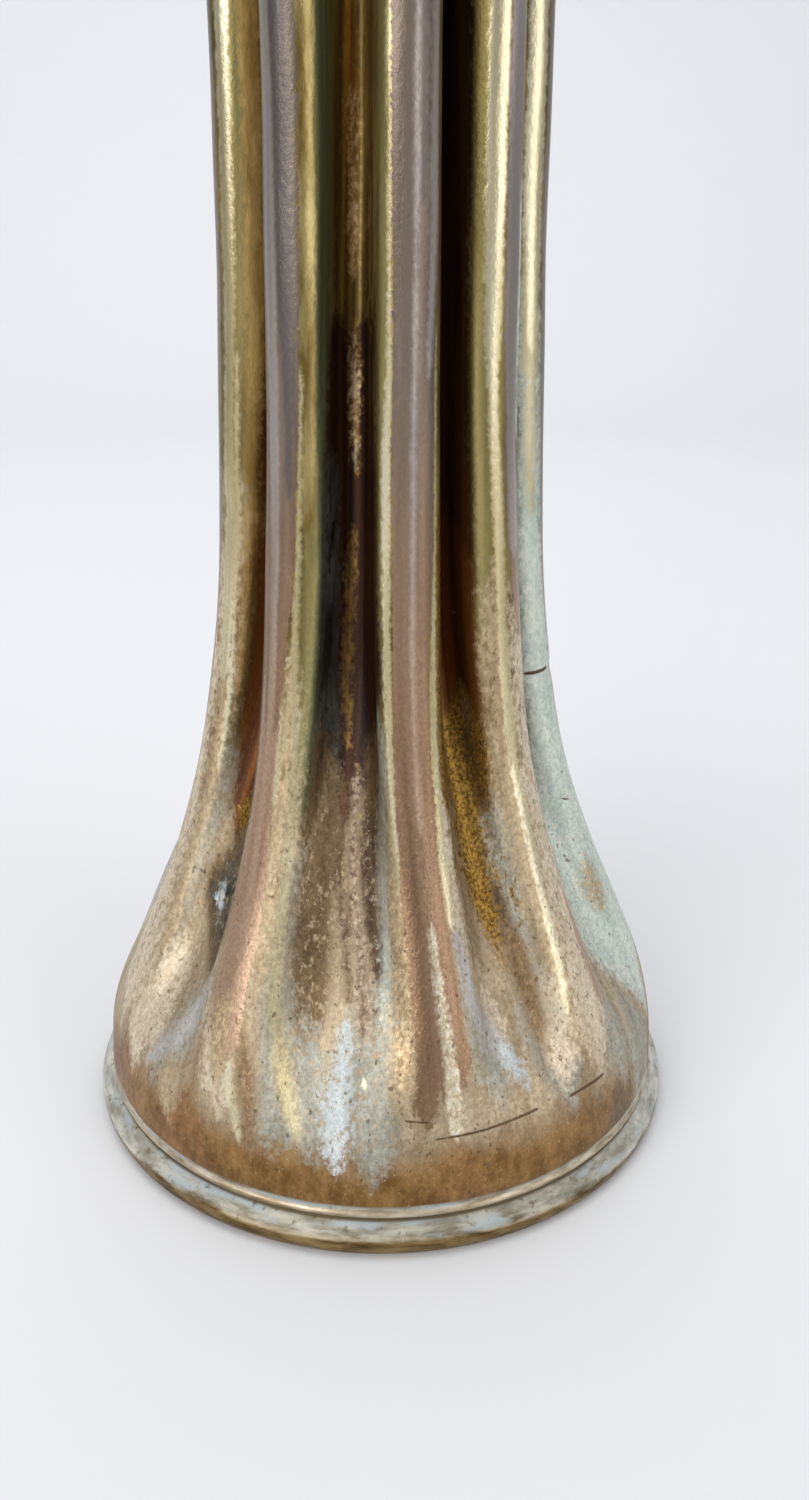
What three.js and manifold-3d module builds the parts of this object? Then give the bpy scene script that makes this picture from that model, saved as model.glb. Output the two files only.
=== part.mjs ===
// A fluted brass vase, hammered by hand from a fired field-gun cartridge case.
// The case is one drawn piece: extractor rim, head, wall and mouth. Its wall has been driven in between
// nine upright ribs, so that it draws in to a narrow waist and opens again at a scalloped mouth.
// The fired primer is still in the base: a screwed body, the dented cap, the anvil and the flash plug.
//
// Units are millimetres. +Z points up the vase's axis, and the origin is the middle of the base's underside.
// Azimuths are in degrees round +Z: 0 faces -Y, and 90 faces +X.

import * as THREE from "three";
import { mergeVertices } from "three/addons/utils/BufferGeometryUtils.js";
import Module from "manifold-3d";

const wasm = await Module();
wasm.setup();

// ---- Driving dimensions ----

const HEIGHT = 340;
const RIM_RADIUS = 43.7;

// The crests of the ribs follow one smooth curve: the head's radius low down, then the shoulder where it
// falls in to the waist, then the flare up to the mouth.
const HEAD_RADIUS = 41.8;
const WAIST_RADIUS = 19.7;
const SHOULDER_HEIGHT = 40.9;
const SHOULDER_POWER = 3.1;
const MOUTH_RADIUS = 40.2;
const FLARE_START = 120;
const FLARE_POWER = 3.4;

// The ribs are spaced by eye, so no two flutes are the same width, and they lean a little as they rise.
const RIB_AZIMUTHS_AT_FOOT = [-68, -33, 13, 47.5, 82, 121, 163, 205, 249];
const RIB_AZIMUTHS_AT_WAIST = [-78, -34, 9.8, 47, 80, 121, 161, 201, 241];
const LEAN_FROM = 25;
const LEAN_TO = 75;
const FLUTES = RIB_AZIMUTHS_AT_FOOT.length;

// A flute's depth, from crest to trough, builds up in three stages and eases off towards the mouth.
const TAIL_DEPTH = 4.6;
const TAIL_FROM = 12;
const TAIL_TO = 34;
const BODY_DEPTH = 3.9;
const BODY_FROM = 38;
const BODY_TO = 74;
const WAIST_DEPTH = 1.6;
const WAIST_FROM = 95;
const WAIST_TO = 150;
const MOUTH_DEPTH = 2.4;
const EASE_FROM = 225;

// How the metal is shared round one flute. Steepness makes the flanks nearly radial. The half angle is from
// a rib's crest to half-way down its flank, and the trough takes what is left of the flute.
const FLANK_STEEPNESS = 0.9;
const RIB_HALF_ANGLE_AT_FOOT = 9.5;
const RIB_HALF_ANGLE_AT_WAIST = 13;
const RIB_WIDENS_FROM = 30;
const RIB_WIDENS_TO = 90;

// The extractor rim, from the underside up: a rounded lower edge, the upright edge, the sloped top, then
// the narrow groove and the bead under the head.
const RIM_UNDERSIDE_RADIUS = 41.9;
const RIM_LOWER_EDGE = [43.15, 0.5];
const RIM_EDGE_FROM = 1.7;
const RIM_EDGE_TO = 2.3;
const RIM_TOP_OUTER = [43.35, 3];
const RIM_TOP_INNER = [41.95, 4.35];
const GROOVE = [41.55, 4.75];
const BEAD = [41.8, 5.3];
const HEAD_FOOT = [41.65, 6];

const WALL_AT_HEAD = 2.6;
const WALL_ABOVE = 1.2;
const WALL_THINS_FROM = 12;
const WALL_THINS_TO = 60;
const LIP_RADIUS = 0.6;

const FLOOR_HEIGHT = 9;
const FLOOR_CORNER = 4;
const LOWEST_WALL_INSIDE = 12;
const BOSS_HEIGHT = 12.5;
const BOSS_RADIUS = 17;
const BOSS_BEVEL = 1.5;

const PRIMER_FLANGE_RADIUS = 12.4;
const PRIMER_FLANGE_THICKNESS = 2.4;
const PRIMER_SHANK_RADIUS = 10.4;
const PRIMER_RECESS = 0.4;
const PRIMER_GAP = 0.3;
const CAP_RADIUS = 3.1;
const CAP_HEIGHT = 2.6;
const CAP_WALL = 0.55;
const CAP_POCKET_DEPTH = 6.2;
const FLASH_HOLE_RADIUS = 1.5;
const MAGAZINE_RADIUS = 6.8;
const MAGAZINE_FLOOR = 8.4;
const FLASH_PLUG_THICKNESS = 2.2;
const SPANNER_HOLE_RADIUS = 1.3;
const SPANNER_HOLE_DEPTH = 1.6;
const SPANNER_HOLE_OFFSET = 8;
const DENT_RADIUS = 1.1;
const DENT_DEPTH = 0.8;
const ANVIL_BUTTON_HEIGHT = 1.1;
const FIRE_HOLE_RADIUS = 0.45;
const FIRE_HOLE_OFFSET = 2.1;

const SAMPLES_PER_FLUTE = 10;
const ROUND_SEGMENTS = 32;

// ---- Materials ----

const agedBrass = new THREE.MeshStandardMaterial({ color: 0x9a8350, roughness: 0.35, metalness: 1 });
const primerBrass = new THREE.MeshStandardMaterial({ color: 0x8a7446, roughness: 0.45, metalness: 1 });
const capCopper = new THREE.MeshStandardMaterial({ color: 0x8c5a3c, roughness: 0.45, metalness: 1 });
const plugBrass = new THREE.MeshStandardMaterial({ color: 0x6f5f3c, roughness: 0.55, metalness: 1 });

// ---- The fluted wall ----

const { degToRad, smoothstep, lerp } = THREE.MathUtils;

function crestRadius(z) {
  const shoulder = 1 / (1 + (z / SHOULDER_HEIGHT) ** SHOULDER_POWER);
  const rise = Math.max(0, (z - FLARE_START) / (HEIGHT - FLARE_START));
  const flare = (MOUTH_RADIUS - WAIST_RADIUS) * rise ** FLARE_POWER;
  return WAIST_RADIUS + (HEAD_RADIUS - WAIST_RADIUS) * shoulder + flare;
}

function fluteDepth(z) {
  const built =
    TAIL_DEPTH * smoothstep(z, TAIL_FROM, TAIL_TO) +
    BODY_DEPTH * smoothstep(z, BODY_FROM, BODY_TO) +
    WAIST_DEPTH * smoothstep(z, WAIST_FROM, WAIST_TO);
  return lerp(built, MOUTH_DEPTH, smoothstep(z, EASE_FROM, HEIGHT));
}

function wallThickness(z) {
  return lerp(WALL_AT_HEAD, WALL_ABOVE, smoothstep(z, WALL_THINS_FROM, WALL_THINS_TO));
}

// The azimuth of a rib at height z. The rib may be any whole number of flutes round from the first.
function ribAzimuth(z, rib) {
  const turns = Math.floor(rib / FLUTES);
  const index = rib - turns * FLUTES;
  const lean = smoothstep(z, LEAN_FROM, LEAN_TO);
  return lerp(RIB_AZIMUTHS_AT_FOOT[index], RIB_AZIMUTHS_AT_WAIST[index], lean) + 360 * turns;
}

// The point of the outer wall at height z, `turn` flutes round from the first rib.
function wallPoint(z, turn) {
  const flute = Math.floor(turn);
  const across = turn - flute;
  const start = ribAzimuth(z, flute);
  const pitch = ribAzimuth(z, flute + 1) - start;

  const depth = fluteDepth(z);
  const steepness = FLANK_STEEPNESS * Math.min(1, depth / (TAIL_DEPTH + BODY_DEPTH));
  const widening = smoothstep(z, RIB_WIDENS_FROM, RIB_WIDENS_TO);
  const halfAngle = lerp(RIB_HALF_ANGLE_AT_FOOT, RIB_HALF_ANGLE_AT_WAIST, widening);
  const narrowing = 2 * Math.PI * (0.25 - halfAngle / pitch) * Math.min(1, depth / TAIL_DEPTH);
  const share =
    across +
    (steepness * Math.sin(4 * Math.PI * across)) / (4 * Math.PI) -
    (narrowing * Math.sin(2 * Math.PI * across)) / (2 * Math.PI);

  const radius = crestRadius(z) - depth * 0.5 * (1 - Math.cos(2 * Math.PI * across));
  const azimuth = degToRad(start + pitch * share);
  return new THREE.Vector2(radius * Math.sin(azimuth), -radius * Math.cos(azimuth));
}

// The same point moved `inset` into the metal, square to the wall in plan.
function wallPointInset(z, turn, inset) {
  const point = wallPoint(z, turn);
  if (inset === 0) return point;
  const step = 0.01;
  const along = wallPoint(z, turn + step).sub(wallPoint(z, turn - step)).normalize();
  return point.add(new THREE.Vector2(-along.y, along.x).multiplyScalar(inset));
}

// ---- The case ----

// The closed profile of the case: up the outside from the primer bore, over the lip and down the inside.
// `fluted` points take the ribbed section at their height, and the others are round.
function caseProfile() {
  const round = (radius, z) => ({ radius, z, fluted: false, inset: 0 });
  const fluted = (z, inset) => ({ radius: crestRadius(z), z, fluted: true, inset });
  const boreRadius = PRIMER_SHANK_RADIUS + PRIMER_GAP;
  const flangeBoreRadius = PRIMER_FLANGE_RADIUS + PRIMER_GAP;
  const flangeBoreDepth = PRIMER_RECESS + PRIMER_FLANGE_THICKNESS + PRIMER_GAP;

  const base = [
    round(boreRadius, flangeBoreDepth),
    round(flangeBoreRadius, flangeBoreDepth),
    round(flangeBoreRadius, 0),
    round(RIM_UNDERSIDE_RADIUS, 0),
  ];
  const rim = [
    round(...RIM_LOWER_EDGE),
    round(RIM_RADIUS, RIM_EDGE_FROM),
    round(RIM_RADIUS, RIM_EDGE_TO),
    round(...RIM_TOP_OUTER),
    round(...RIM_TOP_INNER),
    round(...GROOVE),
    round(...BEAD),
    round(...HEAD_FOOT),
  ];

  const footHeights = [8, 13, 19, 26, 34, 43, 53, 65, 82];
  const upperHeights = [108, 150, 195, 230, 258, 282, 303, 321, 333];
  const outerHeights = [...footHeights, ...upperHeights];
  const lipZ = HEIGHT - LIP_RADIUS;
  const outside = outerHeights.map((z) => fluted(z, 0));
  const lip = [fluted(lipZ, 0), fluted(HEIGHT, LIP_RADIUS), fluted(lipZ, 2 * LIP_RADIUS)];
  const inside = outerHeights
    .filter((z) => z > LOWEST_WALL_INSIDE)
    .reverse()
    .map((z) => fluted(z, wallThickness(z)));

  const floorRadius = HEAD_RADIUS - WALL_AT_HEAD;
  const floor = [
    round(floorRadius - 1, LOWEST_WALL_INSIDE),
    round(floorRadius - FLOOR_CORNER, FLOOR_HEIGHT + 0.1 * FLOOR_CORNER),
    round(floorRadius - 1.75 * FLOOR_CORNER, FLOOR_HEIGHT),
    round(BOSS_RADIUS + BOSS_BEVEL, FLOOR_HEIGHT),
    round(BOSS_RADIUS, BOSS_HEIGHT - 0.5 * BOSS_BEVEL),
    round(BOSS_RADIUS - BOSS_BEVEL, BOSS_HEIGHT),
    round(boreRadius, BOSS_HEIGHT),
  ];
  const profile = [...base, ...rim, ...outside, ...lip, ...inside, ...floor];
  return [...profile, profile[0]];
}

// A LatheGeometry of the round profile, whose fluted rings are then pressed into the ribbed section.
function makeCase() {
  const profile = caseProfile();
  const segments = FLUTES * SAMPLES_PER_FLUTE;
  const lathe = new THREE.LatheGeometry(
    profile.map((p) => new THREE.Vector2(p.radius, p.z)),
    segments,
  );
  const position = lathe.getAttribute("position");
  for (let i = 0; i < position.count; i++) {
    const point = profile[i % profile.length];
    const turn = Math.floor(i / profile.length) / SAMPLES_PER_FLUTE;
    let place;
    if (point.fluted) {
      place = wallPointInset(point.z, turn, point.inset);
    } else {
      place = wallPoint(0, turn).setLength(point.radius);
    }
    position.setXYZ(i, place.x, place.y, point.z);
  }
  return lathe;
}

// ---- The primer ----

// A solid of revolution about +Z from [radius, z] points.
function revolve(points, segments = ROUND_SEGMENTS) {
  const lathe = new THREE.LatheGeometry(
    points.map(([radius, z]) => new THREE.Vector2(radius, z)),
    segments,
  );
  return lathe.rotateX(Math.PI / 2);
}

function toSolid(geometry) {
  const bare = geometry.clone();
  bare.deleteAttribute("normal");
  bare.deleteAttribute("uv");
  const merged = mergeVertices(bare, 1e-4);
  const vertProperties = merged.getAttribute("position").array;
  const triVerts = new Uint32Array(merged.index.array);
  return new wasm.Manifold(new wasm.Mesh({ numProp: 3, vertProperties, triVerts }));
}

function fromSolid(solid) {
  const mesh = solid.getMesh();
  const geometry = new THREE.BufferGeometry();
  geometry.setAttribute("position", new THREE.BufferAttribute(mesh.vertProperties, 3));
  geometry.setIndex(new THREE.BufferAttribute(mesh.triVerts, 1));
  geometry.computeVertexNormals();
  return geometry;
}

const capPocketTop = PRIMER_RECESS + CAP_POCKET_DEPTH;
const plugSeat = BOSS_HEIGHT - FLASH_PLUG_THICKNESS;

// The screwed body, with the cap's pocket below, the magazine above and two blind holes for the spanner.
function makePrimerBody() {
  const pocketRadius = CAP_RADIUS + PRIMER_GAP;
  const flangeTop = PRIMER_RECESS + PRIMER_FLANGE_THICKNESS;
  const turned = revolve([
    [pocketRadius, PRIMER_RECESS],
    [PRIMER_FLANGE_RADIUS - 0.3, PRIMER_RECESS],
    [PRIMER_FLANGE_RADIUS, PRIMER_RECESS + 0.3],
    [PRIMER_FLANGE_RADIUS, flangeTop],
    [PRIMER_SHANK_RADIUS, flangeTop],
    [PRIMER_SHANK_RADIUS, BOSS_HEIGHT],
    [MAGAZINE_RADIUS + 1, BOSS_HEIGHT],
    [MAGAZINE_RADIUS + 1, plugSeat],
    [MAGAZINE_RADIUS, plugSeat],
    [MAGAZINE_RADIUS, MAGAZINE_FLOOR],
    [FLASH_HOLE_RADIUS, MAGAZINE_FLOOR],
    [FLASH_HOLE_RADIUS, capPocketTop],
    [pocketRadius, capPocketTop],
    [pocketRadius, PRIMER_RECESS],
  ]);
  let body = toSolid(turned);
  for (const side of [-1, 1]) {
    const drill = new THREE.CylinderGeometry(
      SPANNER_HOLE_RADIUS,
      SPANNER_HOLE_RADIUS,
      2 * SPANNER_HOLE_DEPTH,
      24,
    );
    drill.rotateX(Math.PI / 2);
    drill.translate(side * SPANNER_HOLE_OFFSET, 0, PRIMER_RECESS);
    body = body.subtract(toSolid(drill));
  }
  return fromSolid(body);
}

// The cap: a shallow copper cup, open upwards, struck in by the firing pin.
function makeCap() {
  const bottom = PRIMER_RECESS + 0.2;
  const top = bottom + CAP_HEIGHT;
  return revolve([
    [0, bottom + DENT_DEPTH],
    [DENT_RADIUS * 0.55, bottom + DENT_DEPTH * 0.8],
    [DENT_RADIUS, bottom + 0.12],
    [DENT_RADIUS + 0.4, bottom],
    [CAP_RADIUS - 0.4, bottom],
    [CAP_RADIUS, bottom + 0.4],
    [CAP_RADIUS, top],
    [CAP_RADIUS - CAP_WALL, top],
    [CAP_RADIUS - CAP_WALL, bottom + CAP_WALL + 0.2],
    [DENT_RADIUS + 0.4, bottom + CAP_WALL],
    [DENT_RADIUS * 0.55, bottom + DENT_DEPTH * 0.8 + CAP_WALL],
    [0, bottom + DENT_DEPTH + CAP_WALL],
  ]);
}

// The anvil: a small turned button above the cap, with its point down and a fire hole on each side.
function makeAnvil() {
  const pointZ = PRIMER_RECESS + CAP_HEIGHT - 0.3;
  const shoulderZ = pointZ + ANVIL_BUTTON_HEIGHT;
  const topZ = capPocketTop - PRIMER_GAP;
  let anvil = toSolid(
    revolve([
      [0, pointZ],
      [0.5, pointZ + 0.1],
      [1.3, shoulderZ],
      [CAP_RADIUS, shoulderZ],
      [CAP_RADIUS, topZ],
      [0, topZ],
    ]),
  );
  for (const side of [-1, 1]) {
    const fireHole = new THREE.CylinderGeometry(FIRE_HOLE_RADIUS, FIRE_HOLE_RADIUS, 2 * CAP_POCKET_DEPTH, 12);
    fireHole.rotateX(Math.PI / 2);
    fireHole.translate(0, side * FIRE_HOLE_OFFSET, shoulderZ);
    anvil = anvil.subtract(toSolid(fireHole));
  }
  return fromSolid(anvil);
}

// The flash plug: the disc that closed the magazine, with its burnt-out flash hole.
function makeFlashPlug() {
  const radius = MAGAZINE_RADIUS + 1 - PRIMER_GAP;
  const bottom = plugSeat + PRIMER_GAP;
  return revolve([
    [FLASH_HOLE_RADIUS * 1.4, bottom],
    [radius, bottom],
    [radius, BOSS_HEIGHT - 0.2],
    [radius - 0.2, BOSS_HEIGHT],
    [FLASH_HOLE_RADIUS * 1.4, BOSS_HEIGHT],
    [FLASH_HOLE_RADIUS * 1.4, bottom],
  ]);
}

// ---- Assembly ----

function part(name, geometry, material) {
  const mesh = new THREE.Mesh(geometry, material);
  mesh.name = name;
  return mesh;
}

const vase = new THREE.Group();
vase.add(part("vase_body", makeCase(), agedBrass));

const primer = new THREE.Group();
primer.add(part("primer_body", makePrimerBody(), primerBrass));
primer.add(part("percussion_cap", makeCap(), capCopper));
primer.add(part("cap_anvil", makeAnvil(), primerBrass.clone()));
primer.add(part("flash_plug", makeFlashPlug(), plugBrass));
vase.add(primer);

export default vase;
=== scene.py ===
"""A fluted brass vase, hammered from a fired field-gun cartridge case, on a plain pale floor.

The fluted wall, with its rim, lip, inside and underside, is one closed mesh that replaces the CAD body.
The four primer pieces are the CAD nodes with aged-brass and copper finishes.
Shapes are worked out in millimetres and turned into metres when a mesh is made.
Azimuths are degrees round +Z: 0 faces -Y and 90 faces +X. Girth is the distance along the wall, in
millimetres, from the crest of a rib, as if the wall were unrolled.
"""

import math

import bpy
import numpy as np
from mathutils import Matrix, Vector


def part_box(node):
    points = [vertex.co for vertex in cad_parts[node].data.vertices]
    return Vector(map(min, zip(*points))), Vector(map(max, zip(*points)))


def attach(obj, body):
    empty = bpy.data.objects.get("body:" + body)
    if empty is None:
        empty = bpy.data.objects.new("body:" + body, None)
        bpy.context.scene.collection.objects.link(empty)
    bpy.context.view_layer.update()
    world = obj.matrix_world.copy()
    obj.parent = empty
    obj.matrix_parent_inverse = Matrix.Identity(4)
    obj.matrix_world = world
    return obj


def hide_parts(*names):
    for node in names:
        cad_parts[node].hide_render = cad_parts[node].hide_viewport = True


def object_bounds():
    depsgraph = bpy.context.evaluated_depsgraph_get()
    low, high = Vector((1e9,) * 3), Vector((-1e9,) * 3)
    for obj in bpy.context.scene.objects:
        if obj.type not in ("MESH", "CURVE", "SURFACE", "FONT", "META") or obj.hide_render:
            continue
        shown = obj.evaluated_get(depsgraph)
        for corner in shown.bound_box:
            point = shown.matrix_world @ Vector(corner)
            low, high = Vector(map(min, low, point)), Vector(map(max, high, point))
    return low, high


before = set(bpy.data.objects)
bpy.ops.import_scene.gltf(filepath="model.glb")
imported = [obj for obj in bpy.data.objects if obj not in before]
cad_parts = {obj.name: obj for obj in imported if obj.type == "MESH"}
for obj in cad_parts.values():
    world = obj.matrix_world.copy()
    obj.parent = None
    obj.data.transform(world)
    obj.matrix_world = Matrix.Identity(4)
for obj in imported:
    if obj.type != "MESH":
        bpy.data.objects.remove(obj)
cad_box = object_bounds()

MM = 0.001

# ---- The vase's shape, in millimetres ----

# The height and the rim are the frame's. The rim is a hair inside, because the CAD rim is made of flats.
INSIDE_FLATS = 0.01
HEIGHT = round(cad_box[1].z / MM, 1)
RIM_RADIUS = round(cad_box[1].x / MM, 1) - INSIDE_FLATS
HEAD_RADIUS = 41.8
WAIST_RADIUS = 19.7
SHOULDER_HEIGHT = 40.9
SHOULDER_POWER = 3.1
MOUTH_RADIUS = 40.2
FLARE_START = 120.0
FLARE_POWER = 3.4

# The nine ribs, by letter: azimuth at the waist and at the foot. The hammering twists them a little.
RIBS = "CBADEFGHI"
AZIMUTH_AT_WAIST = np.array([-78.0, -34.0, 9.8, 47.0, 80.0, 121.0, 161.0, 201.0, 241.0])
AZIMUTH_AT_FOOT = np.array([-68.0, -33.0, 13.0, 47.5, 82.0, 121.0, 163.0, 205.0, 249.0])

TAIL_DEPTH = 4.6
BODY_DEPTH = 3.9
WAIST_DEPTH = 1.6
MOUTH_DEPTH = 2.4
FLANK_STEEPNESS = 0.9
RIB_HALF_ANGLE_AT_WAIST = 13.0
RIB_HALF_ANGLE_AT_FOOT = 9.5

# The heights between which each of these sets in, or gives way to the next.
TAILS_DEEPEN = (12, 34)
BODY_DEEPENS = (38, 74)
WAIST_DEEPENS = (95, 150)
DEPTH_EASES = (225, HEIGHT)
RIBS_TWIST = (25, 75)
RIBS_WIDEN = (30, 90)
WALL_THINS = (12, 60)
HAMMERING_SETS_IN = (8, 20)

WALL_AT_HEAD = 2.6
WALL_ABOVE = 1.2
FLOOR_HEIGHT = 9.0
BOSS_HEIGHT = 12.5
BOSS_RADIUS = 17.0
LIP_RADIUS = 0.6
BORE_EDGE = 0.5
RIM_LOWER_EDGE = 1.9
RIM_UPPER_EDGE = 0.9
BEAD_RADIUS = 0.5
FLOOR_CORNER = 4.0
BOSS_FILLET = 2.2
BOSS_EDGE = 0.8

# The primer sits in a stepped bore, with a gap round its flange and its shank.
PRIMER_GAP = 0.3
PRIMER_SHANK_RADIUS = 10.4
PRIMER_FLANGE_THICKNESS = 2.4
primer_low, primer_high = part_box("primer_body")
BORE_RADIUS = PRIMER_SHANK_RADIUS + PRIMER_GAP
FLANGE_BORE_RADIUS = round(primer_high.x / MM, 1) + PRIMER_GAP
FLANGE_BORE_DEPTH = round(primer_low.z / MM, 1) + PRIMER_FLANGE_THICKNESS + PRIMER_GAP

COLUMNS_PER_FLUTE = 32
CREST_CROWDING = 0.4

# The hammering leaves the wall gently uneven. Waves: height in mm, waves round, rise per wave and phase.
HAMMER_WAVES = [
    (0.05, 7, 47.0, 0.4),
    (0.04, 13, 33.0, 2.1),
    (0.03, 22, 61.0, 4.0),
    (0.02, 31, 21.0, 1.3),
]

# Dents: rib, flutes to the right of it, height, half-width round the wall and up it in mm, and depth.
DENTS = [
    ("B", 0.11, 84.0, 1.6, 1.6, 0.25),
    ("D", -0.07, 58.0, 2.2, 4.0, 0.3),
    ("A", 0.02, 45.0, 2.4, 5.0, 0.25),
    ("E", -0.1, 66.5, 3.0, 1.2, 0.3),
    ("C", 0.1, 88.0, 2.0, 4.0, 0.25),
    ("G", 0.05, 70.0, 2.5, 4.0, 0.3),
]


def smooth(x, start, end):
    t = np.clip((x - start) / (end - start), 0.0, 1.0)
    return t * t * (3.0 - 2.0 * t)


def blend(a, b, share):
    return a + (b - a) * share


def crest_radius(z):
    shoulder = 1.0 / (1.0 + (z / SHOULDER_HEIGHT) ** SHOULDER_POWER)
    rise = np.maximum(0.0, (z - FLARE_START) / (HEIGHT - FLARE_START))
    flare = (MOUTH_RADIUS - WAIST_RADIUS) * rise**FLARE_POWER
    return WAIST_RADIUS + (HEAD_RADIUS - WAIST_RADIUS) * shoulder + flare


def flute_depth(z):
    built = TAIL_DEPTH * smooth(z, *TAILS_DEEPEN)
    built = built + BODY_DEPTH * smooth(z, *BODY_DEEPENS)
    built = built + WAIST_DEPTH * smooth(z, *WAIST_DEEPENS)
    return blend(built, MOUTH_DEPTH, smooth(z, *DEPTH_EASES))


def wall_thickness(z):
    return blend(WALL_AT_HEAD, WALL_ABOVE, smooth(z, *WALL_THINS))


def rib_azimuths(z, index):
    """Azimuth of the rib at `index` (which may run past the last rib) at height z, in degrees."""
    lift = smooth(z, *RIBS_TWIST)
    turns = 360.0 * np.floor_divide(index, len(RIBS))
    index = np.mod(index, len(RIBS))
    return blend(AZIMUTH_AT_FOOT[index], AZIMUTH_AT_WAIST[index], lift) + turns


def unevenness(z, turn):
    """How far the hammered wall stands proud of its even shape, in mm."""
    angle = 2 * math.pi * turn / len(RIBS)
    proud = 0.0
    for size, waves, rise, phase in HAMMER_WAVES:
        proud = proud + size * np.sin(waves * angle + 2 * math.pi * z / rise + phase)
    for rib, offset, height, half_width, half_height, depth in DENTS:
        beside = (turn - RIBS.index(rib) - offset) * crest_radius(z) * 2 * math.pi / len(RIBS)
        reach = (beside / half_width) ** 2 + ((z - height) / half_height) ** 2
        proud = proud - depth * np.exp(-reach)
    return proud * smooth(z, *HAMMERING_SETS_IN)


def wall_point(z, turn):
    """x and y of the outer wall at height z, `turn` flutes round from the first rib. Arrays broadcast."""
    flute = np.floor(turn).astype(int)
    across = turn - flute
    start = rib_azimuths(z, flute)
    pitch = rib_azimuths(z, flute + 1) - start
    depth = flute_depth(z)
    steepness = FLANK_STEEPNESS * np.minimum(1.0, depth / (TAIL_DEPTH + BODY_DEPTH))
    half_angle = blend(RIB_HALF_ANGLE_AT_FOOT, RIB_HALF_ANGLE_AT_WAIST, smooth(z, *RIBS_WIDEN))
    narrowing = 2 * math.pi * (0.25 - half_angle / pitch) * np.minimum(1.0, depth / TAIL_DEPTH)
    share = across + steepness * np.sin(4 * math.pi * across) / (4 * math.pi)
    share = share - narrowing * np.sin(2 * math.pi * across) / (2 * math.pi)
    radius = crest_radius(z) - depth * 0.5 * (1 - np.cos(2 * math.pi * across)) + unevenness(z, turn)
    azimuth = np.radians(start + pitch * share)
    return radius * np.sin(azimuth), -radius * np.cos(azimuth)


def inset_wall_point(z, turn, inset):
    """The outer wall's point moved `inset` into the metal, square to the wall in plan."""
    x, y = wall_point(z, turn)
    step = 0.01  # of a flute
    ahead = wall_point(z, turn + step)
    behind = wall_point(z, turn - step)
    along_x = ahead[0] - behind[0]
    along_y = ahead[1] - behind[1]
    length = np.hypot(along_x, along_y)
    return x - along_y / length * inset, y + along_x / length * inset


# ---- The vase's mesh ----

OUTSIDE, INSIDE, UNDERSIDE = 0, 1, 2


def arc(centre_r, centre_z, radius, start, end, steps):
    """[radius, z] points on an arc of the profile, with angles in degrees from the +radius direction."""
    angles = np.radians(np.linspace(start, end, steps))
    return [(centre_r + radius * math.cos(a), centre_z + radius * math.sin(a)) for a in angles]


def vase_rows():
    """The closed profile as rows: (radius, z, inset, fluted, zone). Up the outside, down the inside."""
    rows = []

    def round_rows(points, zone):
        rows.extend((r, z, 0.0, False, zone) for r, z in points)

    underside = [(BORE_RADIUS, FLANGE_BORE_DEPTH), (FLANGE_BORE_RADIUS, FLANGE_BORE_DEPTH)]
    underside += arc(FLANGE_BORE_RADIUS + BORE_EDGE, BORE_EDGE, BORE_EDGE, 180, 270, 4)
    underside += [(r, 0.0) for r in np.linspace(16, RIM_RADIUS - 3.2, 9)]
    round_rows(underside, UNDERSIDE)

    # The rim's two rounded edges, its sloped top, the groove, the bead and the start of the wall.
    rim = arc(RIM_RADIUS - RIM_LOWER_EDGE, RIM_LOWER_EDGE, RIM_LOWER_EDGE, -80, 0, 9)
    rim += arc(RIM_RADIUS - RIM_UPPER_EDGE, 2.3, RIM_UPPER_EDGE, 10, 62, 5)
    rim += [(RIM_RADIUS - 1.0, 3.55), (RIM_RADIUS - 1.6, 4.1)]
    rim += [(RIM_RADIUS - 2.1, 4.4), (RIM_RADIUS - 2.3, 4.55), (RIM_RADIUS - 2.34, 4.8)]
    rim += arc(RIM_RADIUS - 2.35, 5.35, BEAD_RADIUS, -50, 60, 6)
    rim += [(RIM_RADIUS - 2.16, 6.1), (RIM_RADIUS - 2.12, 6.6)]
    round_rows(rim, OUTSIDE)

    heights = list(np.arange(7.2, 150.0, 1.0)) + list(np.arange(150.0, HEIGHT - 3, 3.0))
    rows.extend((0.0, z, 0.0, True, OUTSIDE) for z in heights)
    for angle in np.linspace(0, math.pi, 7):
        inset = LIP_RADIUS * (1 - math.cos(angle))
        z = HEIGHT - LIP_RADIUS + LIP_RADIUS * math.sin(angle)
        rows.append((0.0, z, inset, True, OUTSIDE))
    inner_heights = np.linspace(HEIGHT - 4, 15.0, 56)
    rows.extend((0.0, z, wall_thickness(z), True, INSIDE) for z in inner_heights)

    floor_radius = HEAD_RADIUS - WALL_AT_HEAD
    inside = arc(floor_radius - 5.0, FLOOR_HEIGHT + FLOOR_CORNER, FLOOR_CORNER, -10, -90, 6)
    inside += [(floor_radius - 12, FLOOR_HEIGHT), (BOSS_RADIUS + 3, FLOOR_HEIGHT)]
    inside += arc(BOSS_RADIUS + BOSS_FILLET, FLOOR_HEIGHT + BOSS_FILLET, BOSS_FILLET, -90, -180, 5)
    inside += arc(BOSS_RADIUS - BOSS_EDGE, BOSS_HEIGHT - BOSS_EDGE, BOSS_EDGE, 0, 90, 4)
    inside += [(BORE_RADIUS, BOSS_HEIGHT)]
    round_rows(inside, INSIDE)
    return rows


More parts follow.
